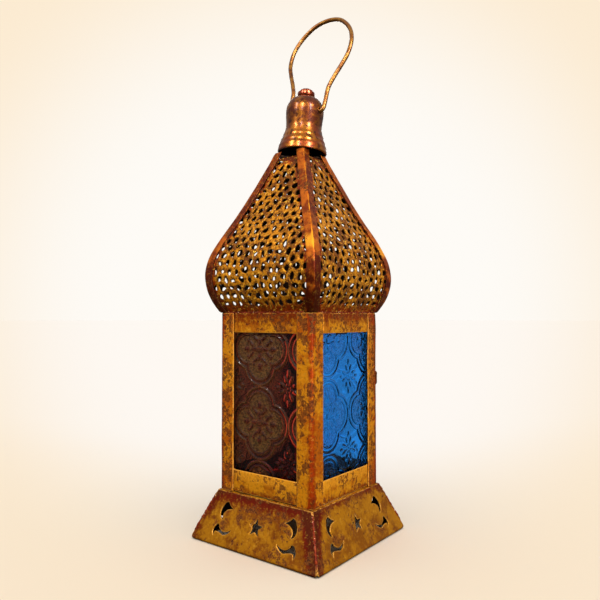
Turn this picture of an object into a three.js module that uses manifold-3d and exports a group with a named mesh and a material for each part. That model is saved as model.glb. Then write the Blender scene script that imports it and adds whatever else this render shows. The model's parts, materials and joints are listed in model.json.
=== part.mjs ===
// Candle lantern: a square metal lantern with coloured pressed-glass panes, a pillow-shaped dome,
// a bell finial and a wire handle. Each separate piece is one named mesh.
//
// Millimetres, +Z up. The origin is the centre of the base, on the surface that the lantern stands on.
// The front (-Y) has the red pane, the right (+X) the blue one, the left (-X) the green one,
// and the rear (+Y) is the door.
import * as THREE from 'three';
import { mergeVertices } from 'three/addons/utils/BufferGeometryUtils.js';
import Module from 'manifold-3d';

const wasm = await Module();
wasm.setup();

// ---------------------------------------------------------------- driving dimensions

const GAP = 0.3; // clearance between two pieces that touch
const SHEET = 0.9; // thickness of the sheet metal
const QUARTER = Math.PI / 2;

const BASE = { half: 54.9, topHalf: 40.9, height: 33, lip: 5, corner: 5 };
const BODY = { half: 40, top: 156.1, flange: 12.2, rearFlange: 6, corner: 2.5 };
const WINDOW = { bottom: 48.5, top: 142.7 };
const RAIL = { shadowGap: 1, tab: 6, recess: GAP };
const PANE = { half: 31, overlap: 3.5, thickness: 3 };
const TAB = { width: 12, sheet: 0.8, plate: 5.9, lip: 5.1 };
const CUP = { radius: 21, wall: 0.8, height: 9, hole: 1.8, seatInner: 4 };
const DOME = { bottom: 156.4, panelTop: 266.5, ribWidth: 6.5, steps: 20 };
const LEAN = { angle: THREE.MathUtils.degToRad(4), pivot: 250 }; // the finial's, towards the rear right corner
const BELL = { rim: 271.6, top: 312.9, pivot: 301, wireHole: 2.1, screwHole: 2.4 };
const SCREW = { radius: 2, bottom: 262.5, headBottom: 313.2, headTop: 319.3, headRadius: 6.3 };
const NUT = { corner: 4.1, bore: 2.3, bottom: 264.1, top: 267.3 };
const SPIDER = { arm: 14.6, width: 6, bottom: 268, hole: 2.5 };
const HANDLE = { wire: 1.5, lean: 14.7, steps: 72 };
const DOOR = { half: 33.2, openingHalf: 27.8, clearance: 0.9, recess: 0.1 };
const HINGE = { x: -33.7, y: 42.1, barrel: 1.8, bore: 1.1, pin: 0.8, height: 12, end: 3.6, leaf: 0.8 };
const LATCH = { x: 37, z: 112, halfWidth: 2.3, reach: 8.4, shank: 1, hole: 1.3 };
const KNOB = { x: 30.5, z: 78, radius: 3.2, length: 7.5 };

const middle = (WINDOW.bottom + WINDOW.top) / 2; // height of the centre of every window
const bodyBottom = BASE.height + GAP;
const railOuter = BODY.half - RAIL.recess;
const railInner = railOuter - SHEET;
const paneOuter = railInner - SHEET - GAP;
const paneInner = paneOuter - PANE.thickness;

// ---------------------------------------------------------------- materials

function metal(color, roughness, metalness) {
  return new THREE.MeshStandardMaterial({ color, roughness, metalness });
}

function glass(color) {
  return new THREE.MeshStandardMaterial({ color, roughness: 0.15, metalness: 0, transparent: true, opacity: 0.6 });
}

const goldLeaf = metal(0xb07a22, 0.5, 0.6);
const copperLeaf = metal(0x9a5220, 0.5, 0.6);
const brass = metal(0xa8661f, 0.35, 0.9);
const wireBrass = metal(0x8f6428, 0.4, 0.9);
const darkSteel = metal(0x3a2a1e, 0.6, 0.8);
const redGlass = glass(0x8c1a10);
const blueGlass = glass(0x2c72b8);
const greenGlass = glass(0x3c7a34);
const strawGlass = glass(0xd8cfa8);

// ---------------------------------------------------------------- solids

// A closed solid for joining and cutting, from a geometry.
function toSolid(geometry) {
  const bare = geometry.clone();
  bare.deleteAttribute('normal');
  bare.deleteAttribute('uv');
  const merged = mergeVertices(bare, 1e-4);
  const vertProperties = new Float32Array(merged.attributes.position.array);
  const triVerts = new Uint32Array(merged.index.array);
  return new wasm.Manifold(new wasm.Mesh({ numProp: 3, vertProperties, triVerts }));
}

function toGeometry(solid) {
  const mesh = solid.getMesh();
  const geometry = new THREE.BufferGeometry();
  geometry.setAttribute('position', new THREE.BufferAttribute(mesh.vertProperties, 3));
  geometry.setIndex(new THREE.BufferAttribute(mesh.triVerts, 1));
  geometry.computeVertexNormals();
  return geometry;
}

// An outline in X and Y, drawn anticlockwise, made solid from z0 to z1.
function extrudeZ(shape, z0, z1, curveSegments = 6) {
  const geometry = new THREE.ExtrudeGeometry(shape, { depth: z1 - z0, bevelEnabled: false, curveSegments });
  return geometry.translate(0, 0, z0);
}

// An outline in Y and Z, made solid from x0 to x1.
function extrudeX(shape, x0, x1, curveSegments = 6) {
  const turn = new THREE.Matrix4().set(0, 0, 1, 0, 1, 0, 0, 0, 0, 1, 0, 0, 0, 0, 0, 1);
  return extrudeZ(shape, x0, x1, curveSegments).applyMatrix4(turn);
}

// An outline in X and Z, made solid from y0 to y1.
function extrudeY(shape, y0, y1, curveSegments = 6) {
  return extrudeZ(shape, 0, y1 - y0, curveSegments).rotateX(QUARTER).translate(0, y1, 0);
}

function polygon(points) {
  return new THREE.Shape(points.map(([x, y]) => new THREE.Vector2(x, y)));
}

function rectangle(x0, y0, x1, y1) {
  return polygon([[x0, y0], [x1, y0], [x1, y1], [x0, y1]]);
}

function box(x0, y0, z0, x1, y1, z1) {
  return extrudeZ(rectangle(x0, y0, x1, y1), z0, z1);
}

// A round rod along Z, Y or X, centred on the origin.
function rod(radius, length, axis = 'z', segments = 16) {
  const geometry = new THREE.CylinderGeometry(radius, radius, length, segments);
  if (axis === 'z') geometry.rotateX(QUARTER);
  if (axis === 'x') geometry.rotateZ(QUARTER);
  return geometry;
}

// A turned piece about the Z axis, from a profile of [radius, height] points.
function turned(profile, segments) {
  const points = profile.map(([radius, height]) => new THREE.Vector2(radius, height));
  return new THREE.LatheGeometry(points, segments).rotateX(QUARTER);
}

// The same, about the Y axis.
function turnedY(profile, segments) {
  return new THREE.LatheGeometry(profile.map(([radius, y]) => new THREE.Vector2(radius, y)), segments);
}

// The quarter of the lantern that belongs to its front face, cut off at the diagonals.
function frontWedge(z0, z1) {
  const reach = 80;
  const apex = -GAP / Math.SQRT2;
  return toSolid(extrudeZ(polygon([[0, apex], [-reach, apex - reach], [reach, apex - reach]]), z0, z1));
}

// ---------------------------------------------------------------- base

// A curved leaf cut through the base panel. u runs outward from the panel's centre line and s up its slope.
function leafHole(start, curves, side) {
  const hole = new THREE.Path();
  hole.moveTo(side * start[0], start[1]);
  for (const [cu, cs, u, s] of curves) hole.quadraticCurveTo(side * cu, cs, side * u, s);
  return hole;
}

const upperLeaf = {
  start: [22.1, 25.4],
  curves: [
    [25.4, 26.6, 27.6, 29.3], [30.2, 29.2, 31.4, 26.4], [33.6, 23.2, 32.3, 20],
    [31.6, 18, 29.2, 17.4], [30.9, 21.4, 28.4, 23], [26.8, 25.2, 22.1, 25.4],
  ],
};
const lowerLeaf = {
  start: [19.6, 12.4],
  curves: [
    [21.4, 8.6, 26.3, 8], [30.2, 9.6, 33.2, 9.4], [34.6, 8.6, 34.3, 6.1], [36.8, 9.6, 34.2, 12.6],
    [32.6, 15.2, 30.6, 13.4], [30.8, 11.4, 26.6, 10], [22.6, 10, 19.6, 12.4],
  ],
};

function starHole(centre, tip, notch) {
  const hole = new THREE.Path();
  for (let i = 0; i <= 10; i += 1) {
    const radius = i % 2 === 0 ? tip : notch;
    const angle = QUARTER + (i * Math.PI) / 5;
    const point = [radius * Math.cos(angle), centre + radius * Math.sin(angle)];
    if (i === 0) hole.moveTo(...point);
    else hole.lineTo(...point);
  }
  return hole;
}

// One sloping side of the base, with a star and four leaves cut through it and a flat lip turned in below.
function basePanel() {
  const { half, topHalf, height, lip, corner } = BASE;
  const slope = Math.hypot(half - topHalf, height);
  const halfAt = (s) => half - ((half - topHalf) * s) / slope;
  const end = slope + 1;
  const outline = new THREE.Shape();
  outline.moveTo(corner - half, 0);
  outline.lineTo(half - corner, 0);
  outline.quadraticCurveTo(half, 0, halfAt(corner), corner);
  outline.lineTo(halfAt(end), end);
  outline.lineTo(-halfAt(end), end);
  outline.lineTo(-halfAt(corner), corner);
  outline.quadraticCurveTo(-half, 0, corner - half, 0);
  outline.holes.push(starHole(slope / 2, 6, 2.5));
  for (const side of [-1, 1]) {
    outline.holes.push(leafHole(upperLeaf.start, upperLeaf.curves, side));
    outline.holes.push(leafHole(lowerLeaf.start, lowerLeaf.curves, side));
  }
  const rise = new THREE.Vector3(0, (half - topHalf) / slope, height / slope);
  const outward = new THREE.Vector3(0, -rise.z, rise.y);
  const place = new THREE.Matrix4().makeBasis(new THREE.Vector3(1, 0, 0), rise, outward);
  const sheet = extrudeZ(outline, -SHEET, 0, 4).applyMatrix4(place).translate(0, -half, 0);
  const trimmed = toSolid(sheet).intersect(frontWedge(0, height));
  const lipOuter = half - 0.6;
  const lipHalf = half - 2 * lip;
  return toGeometry(trimmed.add(toSolid(box(-lipHalf, -lipOuter, 0, lipHalf, lip - lipOuter, SHEET))));
}

function floorPlate() {
  const half = BASE.topHalf - 1.4;
  const plate = rectangle(-half, -half, half, half);
  plate.holes.push(new THREE.Path().absarc(0, 0, CUP.hole, 0, 2 * Math.PI));
  return extrudeZ(plate, BASE.height - 1, BASE.height, 12);
}

// A shallow dish that holds the candle, with a rolled rim. The candle's seat is the ring outside the rivet's head.
function candleCup() {
  const { radius, wall, height, hole, seatInner } = CUP;
  const z = BASE.height + GAP;
  const bend = 1.5;
  return turned([
    [hole, z], [radius - bend, z], [radius, z + bend], [radius, z + height - 1.4], [radius + 1, z + height - 0.7],
    [radius + 0.2, z + height], [radius - wall, z + height - 0.9], [radius - wall, z + bend + 0.3],
    [radius - wall - bend + 0.3, z + wall], [seatInner, z + wall], [hole, z + wall], [hole, z],
  ], 40);
}

function candleCupRivet() {
  const seat = BASE.height + GAP + CUP.wall + GAP;
  const tail = BASE.height - 1 - GAP;
  const shank = CUP.hole - GAP;
  return turned([
    [0, tail - 1], [2.6, tail - 1], [3, tail], [shank, tail], [shank, seat], [3.2, seat], [2.4, seat + 0.8],
    [0, seat + 1],
  ], 20);
}

// ---------------------------------------------------------------- body

// An L-shaped corner post for the front left corner, with a rounded outer edge. Its two flanges have widths of
// their own, because the ones beside the door are narrow.
function cornerPost(frontFlange, leftFlange) {
  const { half, corner, top } = BODY;
  const post = new THREE.Shape();
  post.moveTo(corner - half, -half);
  post.lineTo(frontFlange - half, -half);
  post.lineTo(frontFlange - half, SHEET - half);
  post.lineTo(SHEET - half, SHEET - half);
  post.lineTo(SHEET - half, leftFlange - half);
  post.lineTo(-half, leftFlange - half);
  post.lineTo(-half, corner - half);
  post.absarc(corner - half, corner - half, corner, Math.PI, 1.5 * Math.PI);
  return extrudeZ(post, bodyBottom, top, 4);
}

// The rear right post also has the hole for the latch rivet. It is drawn at the front left corner too.
function latchPost() {
  const hole = rod(LATCH.hole, 4, 'y').translate(-LATCH.x, -BODY.half, LATCH.z);
  return toGeometry(toSolid(cornerPost(BODY.rearFlange, BODY.flange)).subtract(toSolid(hole)));
}

// A flat strip across the front face whose ends step back behind the posts.
function rail(z0, z1) {
  const edge = BODY.half - BODY.flange - GAP;
  const step = edge - SHEET;
  const tab = edge + RAIL.tab;
  const back = railInner - SHEET;
  return extrudeZ(polygon([
    [-edge, -railOuter], [edge, -railOuter], [edge, -railInner], [tab, -railInner], [tab, -back], [step, -back],
    [step, -railInner], [-step, -railInner], [-step, -back], [-tab, -back], [-tab, -railInner], [-edge, -railInner],
  ]), z0, z1);
}

function pane() {
  const { half, overlap } = PANE;
  return box(-half, -paneOuter, WINDOW.bottom - overlap, half, -paneInner, WINDOW.top + overlap);
}

// A bent tab above a pane: a plate against the metal, an arm over the pane's edge and a lip behind the pane.
// front is the face of the metal that it is fixed to, edge the height of the pane's edge.
function glassTab(front, paneBack, edge, plate) {
  const { width, sheet, lip } = TAB;
  const arm = edge + GAP;
  const outer = front - GAP;
  const lipOuter = paneBack - GAP;
  const lipInner = lipOuter - sheet;
  return extrudeX(polygon([
    [-outer, arm], [-lipOuter, arm], [-lipOuter, arm - lip], [-lipInner, arm - lip], [-lipInner, arm + sheet],
    [sheet - outer, arm + sheet], [sheet - outer, arm + plate], [-outer, arm + plate],
  ]), -width / 2, width / 2);
}

// ---------------------------------------------------------------- door

const doorFace = BODY.half - DOOR.recess;
const doorBack = doorFace - SHEET;
const doorPaneOuter = doorBack - GAP;
const doorPaneInner = doorPaneOuter - PANE.thickness;

// A flat frame that fills the rear face between the posts, around a window like the others. It is drawn in X and Z.
function doorFrame() {
  const { half, openingHalf, clearance } = DOOR;
  const frame = rectangle(-half, bodyBottom + clearance, half, BODY.top - clearance);
  frame.holes.push(rectangle(-openingHalf, WINDOW.bottom, openingHalf, WINDOW.top));
  return extrudeY(frame, doorBack, doorFace);
}

function doorPane() {
  const { half, overlap } = PANE;
  return box(-half, doorPaneInner, WINDOW.bottom - overlap, half, doorPaneOuter, WINDOW.top + overlap);
}

// One knuckle of a hinge, and the tongue that joins it to its leaf at x = reach.
function knuckle(z0, z1, reach) {
  const barrel = toSolid(rod(HINGE.barrel, z1 - z0).translate(HINGE.x, HINGE.y, (z0 + z1) / 2));
  const leafFace = HINGE.y - HINGE.barrel;
  const left = Math.min(HINGE.x, reach);
  const right = Math.max(HINGE.x, reach);
  return barrel.add(toSolid(box(left, leafFace, z0, right, leafFace + HINGE.leaf, z1)));
}

function withPinBore(solid) {
  const bore = rod(HINGE.bore, 4 * HINGE.height).translate(HINGE.x, HINGE.y, 0);
  return toGeometry(solid.subtract(toSolid(bore)));
}

// The leaf on the post, with a knuckle at each end. The hinge's bottom is at z = 0.
function hingePostLeaf() {
  const near = HINGE.x - HINGE.barrel - 0.4;
  const face = HINGE.y - HINGE.barrel;
  const plate = toSolid(box(near - 3.8, face, 0, near, face + HINGE.leaf, HINGE.height));
  const low = knuckle(0, HINGE.end, near - 1);
  const high = knuckle(HINGE.height - HINGE.end, HINGE.height, near - 1);
  return withPinBore(plate.add(low).add(high));
}

// The leaf on the door, with the middle knuckle.
function hingeDoorLeaf() {
  const near = HINGE.x + HINGE.barrel + 0.4;
  const face = HINGE.y - HINGE.barrel;
  const plate = toSolid(box(near, face, 0, near + 3.2, face + HINGE.leaf, HINGE.height));
  const centre = knuckle(HINGE.end + GAP, HINGE.height - HINGE.end - GAP, near + 1);
  return withPinBore(plate.add(centre));
}

function hingePin() {
  const { pin, height } = HINGE;
  const top = height + GAP;
  return turned([
    [0, -GAP - 0.8], [1.3, -GAP - 0.8], [1.6, -GAP], [pin, -GAP], [pin, top], [1.7, top], [1.4, top + 0.8],
    [0, top + 0.9],
  ], 14);
}

// The knob, soldered to the door and turned about Y. The door's outer face is at y = 0.
function doorKnob() {
  const { radius, length } = KNOB;
  return turnedY([
    [0, GAP], [2.2, GAP], [1.6, length - 2 * radius + 0.4], [2.6, length - 1.6 * radius], [radius, length - radius],
    [2.5, length - 0.4 * radius], [1.2, length - 0.1], [0, length],
  ], 20);
}

// The turn button hangs from its rivet: a strip with round ends, pivoting about Y.
function latchButton() {
  const { x, z, halfWidth, reach, hole } = LATCH;
  const strip = new THREE.Shape();
  strip.absarc(x, z, halfWidth, 0, Math.PI);
  strip.absarc(x, z - reach + halfWidth, halfWidth, Math.PI, 2 * Math.PI);
  strip.holes.push(new THREE.Path().absarc(x, z, hole, 0, 2 * Math.PI));
  return extrudeY(strip, BODY.half + GAP, BODY.half + GAP + SHEET, 8);
}

// The latch's rivet, turned about Y. The post's outer face is at y = 0.
function latchRivet() {
  const head = 2 * GAP + SHEET;
  const tail = -SHEET - GAP;
  return turnedY([
    [0, tail - 0.7], [1.5, tail - 0.7], [1.9, tail], [LATCH.shank, tail], [LATCH.shank, head], [2.3, head],
    [1.7, head + 0.8], [0, head + 1.1],
  ], 18);
}

// ---------------------------------------------------------------- dome

// Half-width of the dome's corner ribs at each height: it swells above the body and then tapers to the bell.
const domeCurve = new THREE.SplineCurve([
  [40.3, 156], [44.8, 165], [47.2, 174], [47.9, 184], [46, 195], [40.7, 208], [31.9, 226], [23.9, 244],
  [16.4, 262], [12.8, 272],
].map(([half, z]) => new THREE.Vector2(half, z)));
const domeSamples = domeCurve.getPoints(200);

function domeHalf(z) {
  const i = domeSamples.findIndex((point) => point.y >= z);
  const [low, high] = [domeSamples[i - 1], domeSamples[i]];
  return THREE.MathUtils.mapLinear(z, low.y, high.y, low.x, high.x);
}

// The strip between two insets of the dome's outline, drawn as [-half, z].
function domeBand(outerInset, innerInset, top) {
  const outer = [];
  const inner = [];
  for (let i = 0; i <= DOME.steps; i += 1) {
    const z = THREE.MathUtils.lerp(DOME.bottom, top, i / DOME.steps);
    outer.push([outerInset - domeHalf(z), z]);
    inner.push([innerInset - domeHalf(z), z]);
  }
  return polygon([...inner, ...outer.reverse()]);
}

function domePanel() {
  const outerInset = SHEET + GAP;
  const band = domeBand(outerInset, outerInset + SHEET, DOME.panelTop);
  return toGeometry(toSolid(extrudeX(band, -60, 60)).intersect(frontWedge(0, 300)));
}

// The L-shaped strip over the seam between two dome panels, for the front left corner.
function domeRib(top) {
  const thin = domeBand(0, SHEET, top);
  const wide = domeBand(0, DOME.ribWidth, top);
  const frontFlange = toSolid(extrudeX(thin, -60, 0)).intersect(toSolid(extrudeY(wide, -60, 0)));
  const leftFlange = toSolid(extrudeX(wide, -60, 0)).intersect(toSolid(extrudeY(thin, -60, 0)));
  return toGeometry(frontFlange.add(leftFlange));
}

// ---------------------------------------------------------------- finial and handle

// Two crossed arms that reach towards the four ribs and carry the finial's screw, in a hole on its leaning axis.
function crownSpider() {
  const { arm, width, bottom, hole } = SPIDER;
  const strip = toSolid(box(-arm, -width / 2, bottom, arm, width / 2, bottom + 1));
  const cross = strip.add(strip.rotate([0, 0, 90])).rotate([0, 0, 45]);
  const aside = ((bottom - LEAN.pivot) * Math.tan(LEAN.angle)) / Math.SQRT2;
  return toGeometry(cross.subtract(toSolid(rod(hole, 4).translate(aside, aside, bottom))));
}

// A thin bell with a flared rim, a hole in the top for the screw and one in each side for the handle.
function finialBell() {
  const { rim, top, screwHole } = BELL;
  const outer = [
    [17.6, rim], [17.8, rim + 1.2], [16.9, rim + 5.5], [14.8, rim + 11.5], [13.1, rim + 17.5], [13.2, rim + 22.5],
    [13.7, rim + 28.5], [13.3, rim + 33.5], [10.9, rim + 38], [7, top - 0.4],
  ];
  const inner = [
    [6.4, top - 1.7], [9.9, rim + 37], [12, rim + 33], [12.4, rim + 28.5], [11.9, rim + 22.5], [11.8, rim + 17.5],
    [13.5, rim + 11.5], [15.6, rim + 5.5], [16.4, rim + 1.2], [16.4, rim],
  ];
  const smooth = (points) => {
    const curve = new THREE.SplineCurve(points.map(([radius, z]) => new THREE.Vector2(radius, z)));
    return curve.getPoints(16).map((point) => [point.x, point.y]);
  };
  const profile = [...smooth(outer), [screwHole, top], [screwHole, top - 1.3], ...smooth(inner), [17.6, rim]];
  const bell = toSolid(turned(profile, 40));
  return toGeometry(bell.subtract(toSolid(rod(BELL.wireHole, 50, 'x').translate(0, 0, BELL.pivot))));
}

// The finial's button is the domed head of a long screw that runs down to the spider.
function finialScrew() {
  const { radius, bottom, headBottom, headTop, headRadius } = SCREW;
  return turned([
    [0, bottom], [radius, bottom], [radius, headBottom], [headRadius - 0.8, headBottom],
    [headRadius, headBottom + 1.3], [headRadius - 0.1, headBottom + 2.7], [headRadius - 1.2, headTop - 1.5],
    [headRadius - 3.4, headTop - 0.3], [0, headTop],
  ], 28);
}

function finialNut() {
  const nut = new THREE.Shape();
  for (let i = 0; i < 6; i += 1) {
    const angle = (i * Math.PI) / 3;
    const point = [NUT.corner * Math.cos(angle), NUT.corner * Math.sin(angle)];
    if (i === 0) nut.moveTo(...point);
    else nut.lineTo(...point);
  }
  nut.holes.push(new THREE.Path().absarc(0, 0, NUT.bore, 0, 2 * Math.PI));
  return extrudeZ(nut, NUT.bottom, NUT.top, 8);
}

// A springy wire loop whose ends pass through the bell. It is drawn upright, with its pivot at the origin.
function handleLoop() {
  const right = [
    [10.4, 0], [14, 0], [15.8, 1.9], [16.1, 7], [16, 19], [18.9, 27.4], [23.2, 36.9], [26.4, 45.6], [26.7, 57],
    [23.6, 65.9], [18, 73.3], [10.4, 78.9],
  ];
  const left = right.map(([x, z]) => [-x, z]).reverse();
  const route = [...right, [0, 81], ...left].map(([x, z]) => new THREE.Vector3(x, 0, z));
  const extrudePath = new THREE.CatmullRomCurve3(route, false, 'centripetal');
  const section = new THREE.Shape().absarc(0, 0, HANDLE.wire, 0, 2 * Math.PI);
  return new THREE.ExtrudeGeometry(section, {
    extrudePath, steps: HANDLE.steps, curveSegments: 5, bevelEnabled: false,
  });
}

// ---------------------------------------------------------------- assembly

const lantern = new THREE.Group();

function add(name, geometry, material, parent = lantern) {
  const mesh = new THREE.Mesh(geometry, material);
  mesh.name = name;
  parent.add(mesh);
  return mesh;
}

// The four faces in order, each a quarter turn from the one before. The ribs stop under the leaning bell's rim.
const { flange, rearFlange } = BODY;
const faces = [
  {
    side: 'front', corner: 'front_left', post: cornerPost(flange, flange), ribTop: 271.9,
    pane: 'red', glass: redGlass,
  },
  {
    side: 'right', corner: 'front_right', post: cornerPost(flange, flange), ribTop: 271.2,
    pane: 'blue', glass: blueGlass,
  },
  { side: 'rear', corner: 'rear_right', post: latchPost(), ribTop: 269.9 },
  {
    side: 'left', corner: 'rear_left', post: cornerPost(flange, rearFlange), ribTop: 271.2,
    pane: 'green', glass: greenGlass,
  },
];

// The rails, the pane and its two tabs on a face that has no door.
function addWindow(face, parent) {
  add(`bottom_rail_${face.side}`, rail(BASE.height + RAIL.shadowGap, WINDOW.bottom), goldLeaf, parent);
  add(`top_rail_${face.side}`, rail(WINDOW.top, BODY.top), goldLeaf, parent);
  add(`glass_${face.side}_${face.pane}`, pane(), face.glass, parent);
  const tab = glassTab(railInner, paneInner, WINDOW.top + PANE.overlap, TAB.plate);
  add(`glass_tab_${face.side}_upper`, tab, darkSteel, parent);
  const lower = add(`glass_tab_${face.side}_lower`, tab, darkSteel, parent);
  lower.rotation.y = Math.PI;
  lower.position.z = 2 * middle;
}

faces.forEach((face, quarter) => {
  const group = new THREE.Group();
  group.rotation.z = quarter * QUARTER;
  lantern.add(group);
  add(`base_panel_${face.side}`, basePanel(), goldLeaf, group);
  add(`corner_post_${face.corner}`, face.post, copperLeaf, group);
  if (face.pane) addWindow(face, group);
  add(`dome_panel_${face.side}`, domePanel(), goldLeaf, group);
  add(`dome_rib_${face.corner}`, domeRib(face.ribTop), copperLeaf, group);
});

add('floor_plate', floorPlate(), goldLeaf);
add('candle_cup', candleCup(), brass);
add('candle_cup_rivet', candleCupRivet(), darkSteel);

add('door_frame', doorFrame(), goldLeaf);
add('door_glass', doorPane(), strawGlass);
const doorTab = glassTab(doorBack, doorPaneInner, WINDOW.top + PANE.overlap, TAB.plate);
const doorTabUpper = add('door_glass_tab_upper', doorTab, darkSteel);
doorTabUpper.rotation.z = Math.PI;
const doorTabLower = add('door_glass_tab_lower', doorTab, darkSteel);
doorTabLower.rotation.x = Math.PI;
doorTabLower.position.z = 2 * middle;
add('door_knob', doorKnob(), brass).position.set(KNOB.x, doorFace, KNOB.z);

for (const [name, z] of [['upper', 122], ['lower', 2 * middle - 122 - HINGE.height]]) {
  add(`hinge_post_leaf_${name}`, hingePostLeaf(), brass).position.z = z;
  add(`hinge_door_leaf_${name}`, hingeDoorLeaf(), brass).position.z = z;
  add(`hinge_pin_${name}`, hingePin(), darkSteel).position.set(HINGE.x, HINGE.y, z);
}

add('latch_button', latchButton(), brass);
add('latch_rivet', latchRivet(), darkSteel).position.set(LATCH.x, BODY.half, LATCH.z);

add('crown_spider', crownSpider(), darkSteel);

// The finial and the handle stand a little out of true, so they share a group that leans.
const leaning = new THREE.Group();
leaning.position.z = LEAN.pivot;
leaning.quaternion.setFromAxisAngle(new THREE.Vector3(-1, 1, 0).normalize(), LEAN.angle);
lantern.add(leaning);
const finial = new THREE.Group();
finial.position.z = -LEAN.pivot;
leaning.add(finial);
add('finial_bell', finialBell(), brass, finial);
add('finial_screw', finialScrew(), brass, finial);
add('finial_nut', finialNut(), darkSteel, finial);
const handle = add('handle_loop', handleLoop(), wireBrass, finial);
handle.position.z = BELL.pivot;
handle.rotation.x = -THREE.MathUtils.degToRad(HANDLE.lean);

export default lantern;
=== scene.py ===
"""The looks of a square candle lantern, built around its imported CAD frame.

Pieces are laid out in millimetres along the frame's axes (+Z up, front -Y, right +X, door at the rear) and
stored in metres. A sheet-metal piece is pressed from a flat outline. Its place(u, v, n) says where a point of
the flat sheet goes, with u and v along the sheet and n above its outer face. The pieces of each face are built
as if for the front and turned into place.
"""

import json
import random
from math import atan2, cos, exp, hypot, pi, radians, sin, tan

import bpy
import numpy as np
from mathutils import Matrix, Vector, noise
from mathutils.geometry import delaunay_2d_cdt


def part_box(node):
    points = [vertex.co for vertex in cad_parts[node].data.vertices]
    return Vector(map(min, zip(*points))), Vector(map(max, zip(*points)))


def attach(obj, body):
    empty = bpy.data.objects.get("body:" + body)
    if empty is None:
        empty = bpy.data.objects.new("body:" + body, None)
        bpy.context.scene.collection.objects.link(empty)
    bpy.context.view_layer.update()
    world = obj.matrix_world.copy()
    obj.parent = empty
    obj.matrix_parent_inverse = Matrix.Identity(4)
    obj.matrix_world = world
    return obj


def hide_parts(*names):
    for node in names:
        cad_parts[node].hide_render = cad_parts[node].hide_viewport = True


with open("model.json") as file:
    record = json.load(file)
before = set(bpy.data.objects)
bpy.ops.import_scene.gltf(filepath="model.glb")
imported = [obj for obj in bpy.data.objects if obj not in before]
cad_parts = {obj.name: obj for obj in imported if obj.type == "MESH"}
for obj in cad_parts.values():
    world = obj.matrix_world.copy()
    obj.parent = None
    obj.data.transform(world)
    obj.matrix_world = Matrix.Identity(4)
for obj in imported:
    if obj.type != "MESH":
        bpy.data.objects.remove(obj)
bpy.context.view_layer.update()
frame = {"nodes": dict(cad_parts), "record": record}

# A millimetre in metres, and the sheet metal's thickness in millimetres.
MM = 0.001
SHEET = 0.9


def box_mm(node):
    """The lowest and highest corner of a CAD node, in millimetres."""
    low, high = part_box(node)
    return Vector(low) / MM, Vector(high) / MM


def clamp(value):
    return min(1, max(0, value))


def srgb(red, green, blue):
    """A colour given as on a screen, from 0 to 255, made linear."""
    def linear(value):
        value /= 255
        return value / 12.92 if value <= 0.04045 else ((value + 0.055) / 1.055) ** 2.4
    return (linear(red), linear(green), linear(blue), 1.0)


# ---- sizes, in millimetres

SIDES = ("front", "right", "rear", "left")
CORNERS = ("front_left", "front_right", "rear_right", "rear_left")
BASE_LOW, BASE_HIGH = box_mm("base_panel_front")
POST_LOW, POST_HIGH = box_mm("corner_post_front_left")
RAIL_LOW, RAIL_TOP = box_mm("bottom_rail_front")
TOP_RAIL_LOW, TOP_RAIL_HIGH = box_mm("top_rail_front")
PANE_LOW, PANE_HIGH = box_mm("glass_front_red")
DOOR_LOW, DOOR_HIGH = box_mm("door_frame")
PANEL_LOW, PANEL_HIGH = box_mm("dome_panel_front")

FLANGE = POST_HIGH.x - POST_LOW.x
REAR_FLANGE = 6  # the rear posts' width beside the door
BODY_HALF = -POST_LOW.y
WINDOW = (RAIL_TOP.z, TOP_RAIL_LOW.z)
OPENING_HALF = BODY_HALF - FLANGE
DOOR_MIDDLE = 95

# The base's half-width at its top and across its lip, the lip's depth and the radius of the lower corners.
BASE_TOP_HALF, LIP_HALF, LIP_DEPTH, BASE_CORNER = 40.9, 44.9, 4.1, 5
# The ends of the solder down a corner of the base, and the half-length and half-width of that under the dome.
BASE_SEAM = (-52.4, -52.4, 4.4), (-40.5, -40.5, 32.2)
DOME_SEAM_HALF, DOME_SEAM_OUT = 39, 38.9

# Half-width of the dome's corner ribs at each height.
DOME_CURVE = [(40.3, 156), (44.8, 165), (47.2, 174), (47.9, 184), (46, 195), (40.7, 208), (31.9, 226),
              (23.9, 244), (16.4, 262), (12.8, 272)]
RIB_WIDTH = 6.5

# The finial leans towards the rear right corner about a point inside the dome.
LEAN = Matrix.Rotation(radians(4), 3, Vector((-1, 1, 0)))
LEAN_CENTRE = Vector((0, 0, 250))
BELL_RIM, BELL_TOP = 271.6, 312.9
SCREW_BOTTOM, BUTTON_BOTTOM, BUTTON_TOP = 262.5, 313.2, 319.3
# The bell's outer and inner profiles: radius, and height above its rim.
BELL_OUTER = [(17.6, 0), (17.8, 1.2), (16.9, 5.5), (14.8, 11.5), (13.1, 17.5), (13.2, 22.5), (13.7, 28.5),
              (13.3, 33.5), (10.9, 38), (7, 40.9)]
BELL_INNER = [(6.4, 39.6), (9.9, 37), (12, 33), (12.4, 28.5), (11.9, 22.5), (11.8, 17.5), (13.5, 11.5),
              (15.6, 5.5), (16.4, 1.2), (16.4, 0)]
# Half of the wire handle, upright about its pivot: distance to the side, and height.
HANDLE_HALF = [(10.4, 0), (14, 0), (15.8, 1.9), (16.1, 7), (16, 19), (18.9, 27.4), (23.2, 36.9), (26.4, 45.6),
               (26.7, 57), (23.6, 65.9), (18, 73.3), (10.4, 78.9)]
HANDLE_TOP = 81
HANDLE_LEAN = radians(14.7)
PIVOT = 301

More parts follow.
